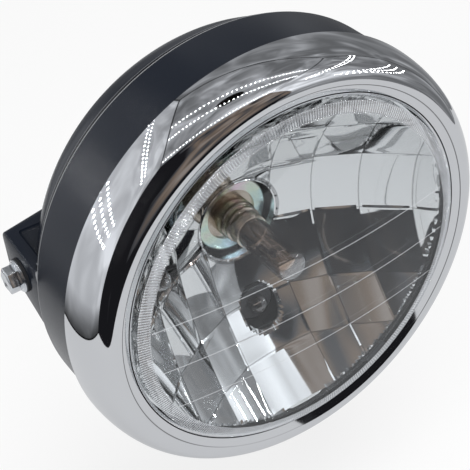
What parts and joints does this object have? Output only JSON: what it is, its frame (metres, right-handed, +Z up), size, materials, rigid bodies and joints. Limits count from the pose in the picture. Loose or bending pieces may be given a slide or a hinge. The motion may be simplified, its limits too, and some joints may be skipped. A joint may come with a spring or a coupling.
{
  "type": "round motorcycle headlight",
  "caption": "Round motorcycle headlight with a domed clear lens, faceted reflector, chrome rim and black bowl-shaped shell with side mounting lugs.",
  "frame": {"origin": "midway between the two side bolts, on their common axis", "axes": "+X along the side bolts' axis; +Y along the lamp's axis, from the glass to the back of the shell; +Z up"},
  "size_m": [0.2008, 0.1058, 0.1954],
  "materials": {
    "black_shell": "satin",
    "chrome_rim": "polished",
    "clear_glass": "clear",
    "mirror_plastic": "vacuum metallised",
    "black_rubber": "moulded",
    "zinc_plate": "iridescent zinc",
    "zinc_fasteners": "bright zinc",
    "bulb_metal": "bare metal",
    "bulb_glass": "clear",
    "filament_wire": "drawn wire",
    "brass_contacts": "machined",
    "spring_steel": "spring steel",
    "black_plastic": "moulded"
  },
  "bodies": {
    "root": {"bucket": "black_shell", "rim": "chrome_rim", "lens": "clear_glass", "reflector": "mirror_plastic", "lens_seal": "black_rubber", "bulb_plate": "zinc_plate", "plate_screws": "zinc_fasteners", "bulb_cap": "bulb_metal", "bulb_glass": "bulb_glass", "bulb_filaments": "filament_wire", "bulb_shield": "bulb_metal", "bulb_blades": "brass_contacts", "bulb_spring": "spring_steel", "bulb_boot": "black_rubber", "position_glass": "bulb_glass", "position_filament": "filament_wire", "position_holder": "black_plastic", "rim_clips": "spring_steel", "rim_hook": "zinc_fasteners", "rim_screw": "zinc_fasteners", "rim_nut": "zinc_fasteners", "left_insert": "brass_contacts", "right_insert": "brass_contacts", "left_bolt": "zinc_fasteners", "right_bolt": "zinc_fasteners", "left_washer": "black_rubber", "right_washer": "black_rubber", "harness_grommet": "black_rubber"}
  },
  "joints": []
}
